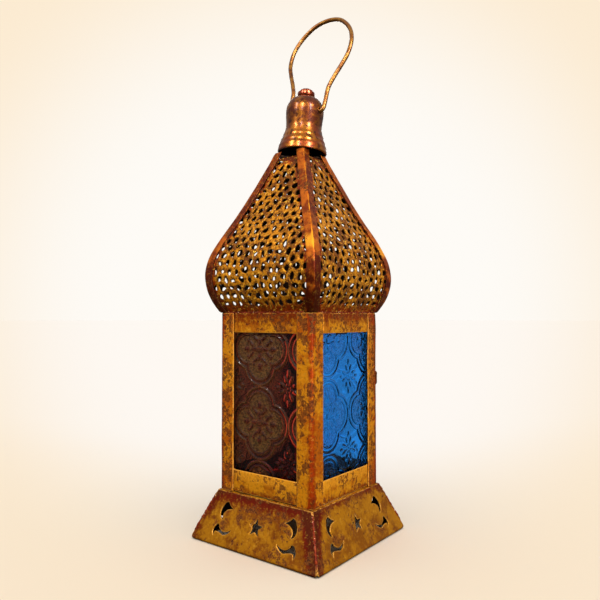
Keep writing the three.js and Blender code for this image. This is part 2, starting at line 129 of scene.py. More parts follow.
# The leaves cut through each base panel: a start point, then quadratic curves of (control, end) points.
UPPER_LEAF = [(22.1, 25.4), (25.4, 26.6), (27.6, 29.3), (30.2, 29.2), (31.4, 26.4), (33.6, 23.2), (32.3, 20),
              (31.6, 18), (29.2, 17.4), (30.9, 21.4), (28.4, 23), (26.8, 25.2), (22.1, 25.4)]
LOWER_LEAF = [(19.6, 12.4), (21.4, 8.6), (26.3, 8), (30.2, 9.6), (33.2, 9.4), (34.6, 8.6), (34.3, 6.1),
              (36.8, 9.6), (34.2, 12.6), (32.6, 15.2), (30.6, 13.4), (30.8, 11.4), (26.6, 10), (22.6, 10),
              (19.6, 12.4)]
STAR_TIP, STAR_NOTCH = 6, 2.5

# The pressed glass: the distance between medallions, their lobes, and the petals on a medallion's arms, round
# a starburst and at its tips. A petal is its distance out and aside, its turn, length, width and height.
PITCH = 49.5
LOBE_RADIUS, LOBE_OFFSET = 13, 11
ARM_PETALS = [(5, 0, 0, 2.5, 1.1, 1), (11.8, 0, 0, 2.2, 1.5, 1), (7.4, 3.6, 0.9, 2.6, 0.8, 1),
              (10, 5.6, 2.3, 1.5, 0.7, 0.8)]
RING_PETALS = [(6.4, 0, 0, 2.3, 0.85, 1), (2.9, 0, 0, 1.2, 0.5, 0.8)]
TALL_TIP, WIDE_TIP = (9.6, 0, 0, 2.4, 1, 1), (9.2, 0, 0, 1.6, 0.8, 1)

# The view in millimetres, and the backdrop: its strength as a light from below and above, its colours behind
# the object and around it, and how directly ahead they lie.
CAMERA = Vector((261.1, -341.3, 153.2))
CAMERA_TURN = radians(37.42)
CAMERA_PITCH = radians(1.645)
VIEW = Vector((-sin(CAMERA_TURN), cos(CAMERA_TURN), tan(CAMERA_PITCH))).normalized()
WORLD_BELOW, WORLD_ABOVE = 0.05, 0.6
CREAM, EDGE_CREAM = srgb(254, 251, 246), srgb(252, 235, 210)
GLOW_RANGE = (0.82, 0.965)


# ---- curves and outlines

def smooth_curve(points, steps, power=0.0):
    """A Catmull-Rom curve through points, with steps between each two. Power 0.5 makes it centripetal."""
    points = [Vector(p) for p in points]
    first = points[0] if power == 0 else 2 * points[0] - points[1]
    last = points[-1] if power == 0 else 2 * points[-1] - points[-2]
    padded = [first, *points, last]
    curve = []
    for p0, p1, p2, p3 in zip(padded, padded[1:], padded[2:], padded[3:]):
        d0, d1, d2 = ((b - a).length ** power for a, b in ((p0, p1), (p1, p2), (p2, p3)))
        leave = ((p1 - p0) / d0 - (p2 - p0) / (d0 + d1) + (p2 - p1) / d1) * d1
        arrive = ((p2 - p1) / d1 - (p3 - p1) / (d1 + d2) + (p3 - p2) / d2) * d1
        for i in range(steps):
            t = i / steps
            curve.append(
                (2 * t**3 - 3 * t**2 + 1) * p1 + (t**3 - 2 * t**2 + t) * leave
                + (3 * t**2 - 2 * t**3) * p2 + (t**3 - t**2) * arrive
            )
    return [*curve, points[-1]]


def quadratic(start, control, end, t):
    return (1 - t) ** 2 * start + 2 * t * (1 - t) * control + t**2 * end


def quadratic_outline(points, mirror, steps=5):
    """A closed outline of quadratic curves, mirrored to the left where mirror is -1."""
    points = [Vector((mirror * u, v)) for u, v in points]
    curves = zip(points[::2], points[1::2], points[2::2])
    return [quadratic(*curve, i / steps) for curve in curves for i in range(steps)]


def mirrored(points):
    """The points on the other side of the middle, in the opposite order."""
    return [Vector((-p.x, p.y)) for p in reversed(points)]


def sides_of(loop):
    """Each point of a loop with the next one."""
    return zip(loop, loop[1:] + loop[:1])


def star_outline(centre, tip, notch):
    """A five-pointed star, point up, with slightly blunted points."""
    corners = []
    for i in range(10):
        direction = Vector((cos(pi / 2 + i * pi / 5), sin(pi / 2 + i * pi / 5)))
        corners.append(Vector((0, centre)) + (notch if i % 2 else tip) * direction)
    outline = []
    for i, corner in enumerate(corners):
        before, after = corners[i - 1], corners[(i + 1) % 10]
        outline += [corner.lerp(before, 0.45), corner.lerp(before, 0.08), corner.lerp(after, 0.08)]
    return outline


def rectangle(u0, v0, u1, v1, step):
    """A rectangle's outline, with points about a step apart along its sides."""
    outline = []
    for (ua, va), (ub, vb) in sides_of([(u0, v0), (u1, v0), (u1, v1), (u0, v1)]):
        count = max(1, round(max(abs(ub - ua), abs(vb - va)) / step))
        outline += [Vector((ua + (ub - ua) * i / count, va + (vb - va) * i / count)) for i in range(count)]
    return outline


def signed_area(loop):
    return sum(a.x * b.y - b.x * a.y for a, b in sides_of(loop)) / 2


def inset(loop, distance):
    """The loop moved to its left by a distance."""
    moved = []
    for before, point, after in zip(loop[-1:] + loop[:-1], loop, loop[1:] + loop[:1]):
        along = (point - before).normalized() + (after - point).normalized()
        if along.length < 0.3:
            moved.append(point.copy())
            continue
        along.normalize()
        stretch = 1 / max(0.5, along.dot((after - point).normalized()))
        moved.append(point + distance * stretch * Vector((-along.y, along.x)))
    return moved


def is_inside(point, loop):
    """Whether a point is inside a loop, by counting the sides to its right."""
    inside = False
    for a, b in sides_of(loop):
        if (a.y > point.y) != (b.y > point.y) and point.x < a.x + (b.x - a.x) * (point.y - a.y) / (b.y - a.y):
            inside = not inside
    return inside


def grid_points(columns, rows, loops, clearance):
    """The points of a grid that lie on the sheet, clear of its rims. The first loop is the outer one."""
    rim = np.array([tuple(p) for loop in loops for p in loop])
    points = []
    for u in columns:
        for v in rows:
            if np.min(np.hypot(rim[:, 0] - u, rim[:, 1] - v)) < clearance:
                continue
            point = Vector((u, v))
            if is_inside(point, loops[0]) and not any(is_inside(point, hole) for hole in loops[1:]):
                points.append(point)
    return points


def steps_between(low, high, step):
    """Evenly spaced values between two ends, without the ends."""
    return np.linspace(low, high, max(2, round((high - low) / step) + 1))[1:-1]


# ---- meshes

def mesh_object(name, points, faces, attributes=None, sharp=50):
    """A smooth-shaded object from points in millimetres, with float attributes on its points."""
    mesh = bpy.data.meshes.new(name)
    mesh.from_pydata((np.array(points, float) * MM).tolist(), [], faces)
    for key, values in (attributes or {}).items():
        attribute = mesh.attributes.new(key, "FLOAT", "POINT")
        attribute.data.foreach_set("value", np.array(values, np.float32))
    mesh.update()
    mesh.shade_smooth()
    mesh.set_sharp_from_angle(angle=radians(sharp))
    obj = bpy.data.objects.new(name, mesh)
    bpy.context.scene.collection.objects.link(obj)
    return obj


def pressed_sheet(outline, holes, inner, rounding):
    """A sheet with rounded rims: its points as (u, v, n), its faces and each point's nearness to a rim."""
    loops = [outline if signed_area(outline) > 0 else outline[::-1]]
    loops += [hole if signed_area(hole) < 0 else hole[::-1] for hole in holes]
    rim = [point for loop in loops for point in inset(loop, rounding)]
    owner = [i for i, loop in enumerate(loops) for _ in loop]
    sides = []
    for loop in loops:
        start = len(sides)
        sides += [(start + i, start + (i + 1) % len(loop)) for i in range(len(loop))]
    flat = rim + inner
    kept = []
    for triangle in delaunay_2d_cdt(flat, sides, [], 1, 1e-6)[2]:
        if max(triangle) < len(rim) and len({owner[i] for i in triangle}) == 1:
            loop = loops[owner[triangle[0]]]
            centre = (flat[triangle[0]] + flat[triangle[1]] + flat[triangle[2]]) / 3
            if is_inside(centre, loop) != (owner[triangle[0]] == 0):
                continue
        kept.append(list(triangle))
    true_rim = [point for loop in loops for point in loop]
    points = [(p.x, p.y, 0.0) for p in flat]
    points += [(p.x, p.y, -SHEET) for p in true_rim + inner]
    back = len(flat)
    faces = kept + [[back + i for i in reversed(triangle)] for triangle in kept]
    rings = [range(len(rim))]
    for angle in (pi / 6, pi / 3, pi / 2):
        rings.append(range(len(points), len(points) + len(rim)))
        for edge, full in zip(rim, true_rim):
            p = full.lerp(edge, 1 - sin(angle))
            points.append((p.x, p.y, -rounding * (1 - cos(angle))))
    rings.append(range(back, back + len(rim)))
    for upper, lower in zip(rings, rings[1:]):
        faces += [[lower[a], lower[b], upper[b], upper[a]] for a, b in sides]
    return points, faces, rim_nearness(points, true_rim)


def rim_nearness(points, rim, reach=1.6):
    """1 at a rim of the sheet, falling to 0 away from it."""
    rim = np.array([tuple(p) for p in rim])
    return [exp(-np.min(np.hypot(*(rim - p).T)) / reach) for p in np.array(points)[:, :2]]


def turned_points(points, quarter):
    """Points of a front piece, turned to the face that many quarters on."""
    points = np.array(points, float)
    for _ in range(quarter % 4):
        points = np.stack([-points[:, 1], points[:, 0], points[:, 2]], axis=1)
    return points


def dent(u, v, seed, size, depth):
    """How far a hand-worked sheet stands out of true at a point."""
    return depth * noise.noise(Vector((u / size, v / size, 7.3 * seed)))


def grid_faces(rows, columns, rows_join=False, columns_join=False):
    """The faces of a grid of points, stored row by row, whose last row or column may join its first."""
    faces = []
    for row in range(rows if rows_join else rows - 1):
        here, there = row * columns, (row + 1) % rows * columns
        for c in range(columns if columns_join else columns - 1):
            d = (c + 1) % columns
            faces.append([here + c, here + d, there + d, there + c])
    return faces


def lathe(profile, segments, closed=True):
    """A turned surface about the Z axis from a profile of (radius, z), whose ends join where it is closed."""
    points = []
    for i in range(segments):
        angle = 2 * pi * i / segments
        points += [(r * cos(angle), r * sin(angle), z) for r, z in profile]
    faces = grid_faces(segments, len(profile), True, closed)
    return points, [[a, d, c, b] for a, b, c, d in faces]


def tube(path, radius_at, sides):
    """A closed tube along a path: radius_at(i, angle) is its radius at each station."""
    points = []
    normal = Vector((0, 1, 0))
    for i, centre in enumerate(path):
        along = (path[min(i + 1, len(path) - 1)] - path[max(i - 1, 0)]).normalized()
        normal = (normal - normal.dot(along) * along).normalized()
        across = along.cross(normal)
        for j in range(sides):
            angle = 2 * pi * j / sides
            points.append(centre + radius_at(i, angle) * (cos(angle) * normal + sin(angle) * across))
    count = len(points)
    ends = [list(range(sides))[::-1], list(range(count - sides, count))]
    return points, grid_faces(len(path), sides, False, True) + ends


def cut_hole(obj, cutter):
    """Cuts one object's shape out of another and removes the cutter."""
    modifier = obj.modifiers.new("hole", "BOOLEAN")
    modifier.object = cutter
    modifier.solver = "EXACT"
    cut = bpy.data.meshes.new_from_object(obj.evaluated_get(bpy.context.evaluated_depsgraph_get()))
    obj.modifiers.clear()
    obj.data = cut
    obj.data.set_sharp_from_angle(angle=radians(50))
    bpy.data.objects.remove(cutter)


# ---- material helpers

class NodeTree:
    """A material's or the world's nodes, with one short call for each kind of node."""

    def __init__(self, owner):
        owner.use_nodes = True
        self.tree = owner.node_tree
        self.tree.nodes.clear()

    def node(self, kind, inputs, **settings):
        node = self.tree.nodes.new(f"ShaderNode{kind}")
        for key, value in settings.items():
            setattr(node, key, value)
        for key, value in inputs.items():
            if isinstance(value, bpy.types.NodeSocket):
                self.tree.links.new(value, node.inputs[key])
            else:
                node.inputs[key].default_value = value
        return node

    def math(self, operation, a, b=0.0, c=0.0):
        return self.node("Math", {0: a, 1: b, 2: c}, operation=operation).outputs[0]

    def vector(self, operation, a, b=(0, 0, 0)):
        """A vector, or the number that a dot product gives."""
        outputs = self.node("VectorMath", {0: a, 1: b}, operation=operation).outputs
        return outputs["Value" if operation == "DOT_PRODUCT" else "Vector"]

    def ramp(self, value, low, high, out_low=0.0, out_high=1.0, shape="SMOOTHSTEP"):
        """The value's range from low to high mapped to another, smoothly unless the shape says otherwise."""
        inputs = {"Value": value, "From Min": low, "From Max": high, "To Min": out_low, "To Max": out_high}
        return self.node("MapRange", inputs, interpolation_type=shape).outputs["Result"]

    def mix(self, factor, a, b):
        """A colour between a and b."""
        return self.node("Mix", {0: factor, 6: a, 7: b}, data_type="RGBA").outputs[2]

    def layers(self, colour, *layers):
        """A colour with others laid over it in turn, each as (factor, colour)."""
        for factor, over in layers:
            colour = self.mix(factor, colour, over)
        return colour


class Shader(NodeTree):
    """A material's nodes. Positions are in millimetres, and a seed sets its patterns apart."""

    def __init__(self, name, seed=0.0):
        self.material = bpy.data.materials.new(name)
        super().__init__(self.material)
        place = self.vector("MULTIPLY", self.node("TexCoord", {}).outputs["Object"], (1 / MM,) * 3)
        self.position = self.vector("ADD", place, (seed, 2 * seed, -seed))

    def noise(self, size, detail, roughness=0.55, distortion=0.0):
        """A soft random pattern whose patches are about that many millimetres across."""
        inputs = {"Vector": self.position, "Scale": 1 / size, "Detail": detail, "Roughness": roughness,
                  "Distortion": distortion}
        return self.node("TexNoise", inputs).outputs["Fac"]

    def cells(self, size):
        """The distance to the nearest of scattered points about that many millimetres apart."""
        return self.node("TexVoronoi", {"Vector": self.position, "Scale": 1 / size}).outputs["Distance"]

    def attribute(self, name):
        return self.node("Attribute", {}, attribute_name=name).outputs["Fac"]

    def bump(self, height, distance, strength, normal=None):
        """A bump of that many millimetres for each unit of height."""
        inputs = {"Height": height, "Distance": distance * MM, "Strength": strength}
        return self.node("Bump", inputs | ({"Normal": normal} if normal else {})).outputs["Normal"]

    def finish(self, **sockets):
        """The finished material. Sockets of the main shader are named with _ for spaces."""
        shader = self.node("BsdfPrincipled", {key.replace("_", " "): v for key, v in sockets.items()})
        self.node("OutputMaterial", {"Surface": shader.outputs[0]})
        return self.material


# ---- materials

def gilt(name, pale, deep, red, seed, wear=0.5, mottle=0.25, edge=srgb(232, 160, 60)):
    """Distressed gold leaf over a red-brown undercoat. Its tone drifts from pale to deep, and reddening
    brings up the undercoat; its highest values lay dark brown, used on some pieces as painted shade, and
    values below zero lay bright gold, used along the ribs' folds as a painted highlight. The leaf is worn
    away in patches and thin squiggles. Rims take the edge colour: a painted highlight over worn leaf where
    it is bright, painted shade where it is dark. The inner side is painted dark as shade."""
    s = Shader(name, seed)
    rust_and_light = s.attribute("rust_and_light")
    ragged = s.noise(3.4, 9, 0.68, distortion=0.4)
    grain = s.noise(0.9, 5, 0.7)
    redness_and_shade = s.math("ADD", rust_and_light, s.math("MULTIPLY_ADD", ragged, 1.1, s.math("MULTIPLY", grain, 0.25)))
    cluster = s.ramp(s.noise(16, 3, 0.6), 0.6 - 0.2 * wear, 0.68 - 0.2 * wear)
    crossing = s.math("ABSOLUTE", s.math("SUBTRACT", s.noise(3.2, 4, 0.62, distortion=0.9), 0.5))
    squiggle = s.math("MULTIPLY", s.ramp(crossing, 0.008, 0.026, 1, 0), cluster)
    patch = s.ramp(s.math("MULTIPLY_ADD", cluster, 0.11, ragged), 0.65 - 0.06 * wear, 0.665 - 0.06 * wear)
    pits = s.ramp(s.noise(1.6, 7, 0.78), 0.645 - 0.03 * wear, 0.67)
    worn = s.math("MAXIMUM", patch, s.math("MAXIMUM", squiggle, pits))
    bare = s.mix(s.ramp(grain, 0.4, 0.6), srgb(112, 58, 12), srgb(46, 22, 6))
    # Rims take the edge colour in ragged stretches: worn leaf with a painted highlight where it is bright,
    # painted shade where it is dark.
    rim_wear_highlight_shade = s.math("MULTIPLY", s.ramp(s.attribute("rim"), 0.62, 1.0), s.ramp(ragged, 0.42, 0.54, 0.1, 0.8))
    # The inner side is painted dark as shade.
    inside = s.ramp(s.attribute("inside"), 0.3, 0.9)
    dull = s.math("MAXIMUM", worn, inside)
    relief = s.math("MULTIPLY_ADD", grain, 0.2, s.noise(5, 3))
    return s.finish(
        Base_Color=s.layers(
            pale,
            (s.ramp(s.math("MULTIPLY_ADD", ragged, 0.5, s.noise(13, 4, 0.55)), 0.66, 0.86), deep),
            # Heavy reddening lays red, then dark brown; on some pieces these highest values are painted shade.
            (s.ramp(redness_and_shade, 0.95, 1.4), red),
            (s.ramp(redness_and_shade, 1.42, 1.75, 0, 0.85), srgb(70, 22, 4)),
            # Values below zero lay bright gold; along the ribs' folds this is a painted highlight.
            (s.ramp(rust_and_light, -0.5, -0.05, 0.85, 0), srgb(238, 156, 34)),
            (s.ramp(s.noise(1.7, 6, 0.7), 0.5, 0.6, 0, 1.4 * mottle), srgb(92, 44, 8)),
            (s.ramp(s.noise(2.3, 7, 0.74), 0.55, 0.62, 0, mottle), srgb(246, 184, 62)),
            (s.math("MULTIPLY", worn, 0.88), bare),
            (rim_wear_highlight_shade, edge),
            (inside, srgb(34, 20, 11)),
        ),
        Metallic=s.ramp(dull, 0, 1, 0.45, 0.1),
        Specular_IOR_Level=0.12,
        Roughness=s.math("ADD", s.ramp(dull, 0, 1, 0.36, 0.62), s.ramp(grain, 0.3, 0.7, -0.06, 0.09)),
        Normal=s.bump(s.math("SUBTRACT", relief, s.math("MULTIPLY", worn, 0.3)), 0.15 + 0.4 * mottle, 0.7),
    )


def polished_brass(name, pale, deep, dark, seed, roughness):
    """Lacquered brass, darkened in soft blotches. High on the bell it darkens further in blotches, partly
    tarnishing and partly painted shade, and its inside is painted near black as shade.
    """
    s = Shader(name, seed)
    blotch = s.noise(7.5, 5, 0.6, distortion=0.4)
    # Where marked, blotchy darkening: partly tarnishing, partly painted shade.
    tarnish_and_shade = s.math("MULTIPLY", s.attribute("tarnish_and_shade"), s.ramp(blotch, 0.3, 0.7, 0.2, 0.9))
    # The inside is painted near black as shade.
    inside = s.attribute("inside")
    dull = s.math("ADD", s.ramp(inside, 0, 1, roughness, 0.8), s.math("MULTIPLY", tarnish_and_shade, 0.22))
    return s.finish(
        Base_Color=s.layers(
            pale,
            (s.ramp(blotch, 0.42, 0.58), deep),
            (s.ramp(s.noise(4.4, 6, 0.66), 0.5, 0.62, 0, 0.9), dark),
            (s.ramp(s.noise(1.8, 4, 0.6), 0.56, 0.74, 0, 0.25), srgb(52, 22, 7)),
            (tarnish_and_shade, dark),
            (inside, srgb(20, 10, 5)),
        ),
        Metallic=0.88,
        Roughness=s.math("ADD", s.ramp(blotch, 0.35, 0.65, -0.04, 0.1), dull),
        Coat_Weight=s.ramp(inside, 0, 1, 0.3, 0),
        Coat_Roughness=0.2,
        Normal=s.bump(blotch, 0.02, 0.6),
    )


def dark_steel():
    """Blackened steel with brown heat stains."""
    s = Shader("dark_steel", 3)
    stain = s.noise(4, 6, 0.6)
    return s.finish(
        Base_Color=s.mix(s.ramp(stain, 0.4, 0.65), srgb(46, 34, 26), srgb(96, 58, 30)),
        Metallic=0.8,
        Roughness=s.ramp(stain, 0.3, 0.7, 0.38, 0.62),
        Normal=s.bump(s.noise(1.1, 5), 0.12, 0.6),
    )


def solder():
    """The ragged beads in the joints: dark red-brown, with flecks worn through to pinkish metal."""
    s = Shader("solder", 8)
    ragged = s.noise(2.1, 8, 0.7, distortion=0.5)
    return s.finish(
        Base_Color=s.layers(
            srgb(80, 16, 2),
            (s.ramp(ragged, 0.4, 0.6), srgb(124, 42, 8)),
            (s.ramp(s.noise(1.2, 6, 0.7), 0.6, 0.66), srgb(240, 190, 140)),
        ),
        Metallic=0.4,
        Specular_IOR_Level=0.15,
        Roughness=s.ramp(ragged, 0.3, 0.7, 0.35, 0.65),
        Normal=s.bump(ragged, 0.5, 0.8),
    )


def pressed_glass(name, tint, deep, seed, film_and_sheen=0.1, plain=None):
    """Coloured glass with a slightly uneven tint and seeds, its stipple dots darkened and painted shade laid
    on the slopes beside each ridge of its pattern. A dull khaki layer, partly a coating and partly painted
    sheen, lies on the medallions' outlines and on their stippled ground, and the plain ground between them can
    have a colour of its own."""
    s = Shader(name, seed)
    grains, ground, film_and_sheen_mask = s.cells(1.5), s.attribute("stipple"), s.attribute("film_and_sheen")
    dots = s.math("MULTIPLY", s.ramp(grains, 0.3, 0.75), ground)
    steep = s.ramp(s.attribute("slope"), 0.12, 0.8)
    # Stipple dots darkened, and painted shade on the ridges' slopes.
    shade = s.math("MAXIMUM", s.math("MULTIPLY", dots, 0.6), s.math("MULTIPLY", steep, 0.85))
    haze = s.math("MULTIPLY", film_and_sheen_mask, s.math("SUBTRACT", 1.0, shade))
    seeds = s.ramp(s.cells(3.1), 0.0, 0.12, 1, 0)
    ripple = s.bump(s.math("MULTIPLY_ADD", seeds, 0.12, s.noise(3.6, 3)), 0.12, 0.5)
    return s.finish(
        Base_Color=s.layers(
            tint,
            (s.ramp(s.noise(26, 3), 0.35, 0.7), deep),
            (s.math("MULTIPLY", s.attribute("plain"), 0.9), plain or tint),
            # Khaki over the outlines and stippled ground: partly a coating, partly painted sheen.
            (s.math("MULTIPLY", film_and_sheen_mask, min(1, 4 * film_and_sheen)), srgb(138, 88, 34)),
            (shade, tuple(0.2 * channel for channel in deep[:3]) + (1,)),
        ),
        Transmission_Weight=s.ramp(haze, 0, 1, 1, 1 - film_and_sheen),
        IOR=1.5,
        Specular_Tint=(0.2, 0.2, 0.2, 1),
        Coat_Weight=s.ramp(haze, 0, 1, 0.4 * film_and_sheen, film_and_sheen),
        Coat_IOR=2.0,
        Coat_Roughness=0.4,
        Roughness=s.ramp(s.noise(9, 4), 0.3, 0.7, 0.02, 0.07),
        Normal=s.bump(s.math("MULTIPLY", grains, ground), 0.34, 0.9, ripple),
    )


def pale_floor():
    """A plain, matt floor, a little warmer in front of the object and of the backdrop's colour beyond it."""
    s = Shader("pale_floor")
    nearness = s.vector("DOT_PRODUCT", s.position, -VIEW)
    aside = s.math("ABSOLUTE", s.vector("DOT_PRODUCT", s.position, VIEW.cross((0, 0, 1))))
    warm = s.math("MULTIPLY_ADD", s.noise(160, 3), 40, s.math("MULTIPLY_ADD", aside, 0.6, nearness))
    away = s.vector("NORMALIZE", s.vector("SUBTRACT", s.position, CAMERA))
    far = s.mix(s.ramp(s.vector("DOT_PRODUCT", away, VIEW), *GLOW_RANGE), EDGE_CREAM, srgb(255, 251, 247))
    return s.finish(
        Base_Color=s.mix(s.ramp(warm, -250, 260), far, EDGE_CREAM),
        Roughness=0.9,
        Specular_IOR_Level=0.0,
        Normal=s.bump(s.noise(3, 3), 0.03, 0.2),
    )


# The rims' colours are painted light: the bright ones are a painted highlight over worn leaf, and the dark
# ones of the lace and ribs are painted shade round the holes and along the ribs' edges.
GOLD = gilt("gold_leaf", srgb(212, 136, 18), srgb(180, 98, 8), srgb(122, 42, 2), 1, wear=0.65)
SKIRT = gilt("skirt_leaf", srgb(160, 102, 10), srgb(126, 70, 5), srgb(94, 18, 1), 17, mottle=0.15,
             edge=srgb(206, 146, 60))
COPPER = gilt("copper_leaf", srgb(212, 132, 16), srgb(182, 90, 7), srgb(150, 48, 2), 31, wear=0.9)
LACE = gilt("lace_leaf", srgb(190, 118, 16), srgb(122, 66, 6), srgb(144, 44, 3), 47, mottle=0.9,
            edge=srgb(52, 25, 5))
RIB = gilt("rib_leaf", srgb(172, 84, 14), srgb(116, 42, 6), srgb(78, 18, 3), 59, wear=0.3, mottle=0.15,
           edge=srgb(60, 26, 8))
BRASS = polished_brass("finial_brass", srgb(178, 104, 18), srgb(132, 54, 8), srgb(66, 24, 6), 5, 0.27)
BUTTON = polished_brass("button_copper", srgb(180, 92, 54), srgb(150, 62, 30), srgb(110, 36, 16), 12, 0.2)
WIRE = polished_brass("handle_wire", srgb(166, 112, 40), srgb(134, 78, 24), srgb(88, 42, 12), 21, 0.34)
STEEL = dark_steel()
SOLDER = solder()
RED = pressed_glass("red_glass", (0.66, 0.055, 0.024, 1), (0.56, 0.04, 0.015, 1), 2, film_and_sheen=0.24,
                    plain=(0.34, 0.009, 0.006, 1))
BLUE = pressed_glass("blue_glass", (0.016, 0.27, 0.98, 1), (0.012, 0.21, 0.92, 1), 4, film_and_sheen=0.02)
GREEN = pressed_glass("green_glass", (0.11, 0.52, 0.42, 1), (0.085, 0.44, 0.34, 1), 6)
STRAW = pressed_glass("straw_glass", (0.95, 0.92, 0.84, 1), (0.92, 0.89, 0.79, 1), 9)
SLOT_MATERIALS = {
    "gold_leaf": GOLD, "copper_leaf": COPPER, "finial_brass": BRASS, "handle_wire": WIRE, "dark_steel": STEEL,
    "red_glass": RED, "blue_glass": BLUE, "green_glass": GREEN, "straw_glass": STRAW,
}


def finish_piece(obj, material, slot, *nodes, body="lantern"):
    """Gives a piece its material and its body, and hides the CAD nodes that it stands for. The slot is not
    used.
    """
    obj.data.materials.clear()
    obj.data.materials.append(material)
    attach(obj, body)
    if nodes:
        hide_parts(*nodes)


def add_sheet(name, sheet, place, quarter, rust_and_light, *finish, body="lantern"):
    """A pressed sheet in its place, finished. The reddening function says how far each point (u, v) has
    reddened, from 0 to 1; past 1 it is heavier, and on some pieces painted shade, and below 0 it lays bright
    gold, on the ribs a painted highlight.
    """
    points, faces, nearness = sheet
    placed = turned_points([place(u, v, n) for u, v, n in points], quarter)
    rust_and_light_values = [rust_and_light(u, v) for u, v, _ in points]
    # The inner side is marked for painted shade.
    inner = [1.0 if n < -0.6 * SHEET else 0.0 for _, _, n in points]
    obj = mesh_object(name, placed, faces, {"rim": nearness, "rust_and_light": rust_and_light_values, "inside": inner})
    finish_piece(obj, *finish, body=body)


# ---- base

def base_place(seed):
    """The base's sloping sheet, folded inward to a flat lip below."""
    half, height = -BASE_LOW.y, BASE_HIGH.z
    run = 14
    rise = Vector((0, run, height)).normalized()
    outward = Vector((0, -rise.z, rise.y))
    turn = pi - atan2(height, run)
    radius = 1.2
    tangent = radius * tan(turn / 2)

    def place(u, v, n):
        if v >= tangent:
            fade = clamp((v - tangent) / 6) * clamp((half - 4 - abs(u)) / 8)
            n += fade * dent(u, v, seed, 20, 0.45)
            return Vector((u, -half, 0)) + v * rise + n * outward
        bend = min(turn, (tangent - v) / radius)
        flat = max(0, tangent - v - turn * radius)
        down = Vector((0, -rise.y, -rise.z))
        centre = Vector((u, -half, 0)) + tangent * rise - radius * outward
        normal = cos(bend) * outward + sin(bend) * down
        return centre + (radius + n) * normal + Vector((0, flat, 0))

    return place


def base_sheet():
    """A pierced panel of the base, flat, with its lip below the fold at v = 0."""
    half, corner, seam = -BASE_LOW.y, BASE_CORNER, 0.5
    slope = hypot(half - BASE_TOP_HALF, BASE_HIGH.z)

    def side(v):
        return half - (half - BASE_TOP_HALF) * v / slope - seam

    curve = Vector((half - corner, 0)), Vector((half, 0)), Vector((side(corner), corner))
    right = [quadratic(*curve, i / 6) for i in range(7)]
    right += [Vector((side(v), v)) for v in steps_between(corner, slope, 1.5)]
    right.append(Vector((side(slope), slope)))
    top = [Vector((u, slope)) for u in steps_between(-side(slope), side(slope), 2)[::-1]]
    fold = [Vector((-LIP_HALF, -LIP_DEPTH * t)) for t in (0.1, 0.5, 1)]
    bottom = [Vector((u, -LIP_DEPTH)) for u in steps_between(-LIP_HALF, LIP_HALF, 2)]
    outline = right + top + mirrored(right) + fold + bottom + mirrored(fold)
    holes = [star_outline(slope / 2, STAR_TIP, STAR_NOTCH)]
    holes += [quadratic_outline(leaf, mirror) for mirror in (-1, 1) for leaf in (UPPER_LEAF, LOWER_LEAF)]
    rows = [*np.arange(-3.2, 2.6, 0.45), *np.arange(3.2, slope, 1.3)]
    inner = grid_points(np.arange(-54, 54.1, 1.35), rows, [outline, *holes], 0.8)
    return pressed_sheet(outline, holes, inner, rounding=0.28)


def base_rust(near_side):
    """Redder along a base panel's top, at its slanting sides and most at its near one, if it has one. The
    front panel is redder all over."""
    def rust_and_light(u, v):
        top = (v / 36) ** 5 * 0.7
        corner = 1.15 * clamp((near_side * u + 0.4 * v - 44.5) / 9.5)
        outer = 0.35 * clamp((abs(u) + 0.4 * v - 47) / 8)
        return (0.34 if near_side > 0 else 0.06) + top + max(corner, outer)
    return rust_and_light


def add_base():
    sheet = base_sheet()
    for quarter, (side, near_side) in enumerate(zip(SIDES, (1, -1, 0, 0))):
        place, rust_and_light = base_place(quarter + 1), base_rust(near_side)
        add_sheet(f"base_sheet_{side}", sheet, place, quarter, rust_and_light, SKIRT, "gold_leaf", f"base_panel_{side}")


def add_seam(name, low, high, quarter):
    """A ragged bead of solder between two points."""
    rng = random.Random(40 + quarter)
    stations = round((high - low).length / 0.45)
    path = [low.lerp(high, i / stations) for i in range(stations + 1)]
    lumps = [rng.uniform(0.7, 1.15) for _ in range(stations // 3)]
    places = np.linspace(0, stations, len(lumps))

    def radius(i, angle):
        lump = float(np.interp(i, places, lumps))
        ragged = noise.noise(Vector((i * 0.31, 2 * cos(angle), 2 * sin(angle) + quarter)))
        end = min(1, 0.25 + 0.12 * min(i, stations - i))
        return end * (lump + 0.22 * ragged)

    points, faces = tube(path, radius, 12)
    bead = mesh_object(f"{name}_seam_{quarter}", turned_points(points, quarter), faces)
    finish_piece(bead, SOLDER, "gold_leaf")


def add_seams():
    """Solder down the base's corners and between the body and the dome, but not over the door."""
    joint = (POST_HIGH.z + PANEL_LOW.z) / 2
    dome_seam = [(end, -DOME_SEAM_OUT, joint) for end in (-DOME_SEAM_HALF, DOME_SEAM_HALF)]
    for quarter, side in enumerate(SIDES):
        add_seam("base", *map(Vector, BASE_SEAM), quarter)
        if side != "rear":
            add_seam("dome", *map(Vector, dome_seam), quarter)


# ---- corner strips: posts and ribs

def corner_place(half_at, radius, seed, wobble):
    """A strip bent round the front left corner. u runs from the left face to the front and v is the height."""
    arc = radius * pi / 4

    def place(u, v, n):
        half = half_at(v) + dent(0, v, seed, 26, wobble)
        n += dent(u, v, seed + 5, 9, 0.6 * wobble)
        centre = radius - half
        if abs(u) < arc:
            angle = -0.75 * pi + u / radius
            reach = radius + n
            return Vector((centre + reach * cos(angle), centre + reach * sin(angle), v))
        along = centre + abs(u) - arc
        outer = -half - n
        return Vector((along, outer, v)) if u > 0 else Vector((outer, along, v))

    return place


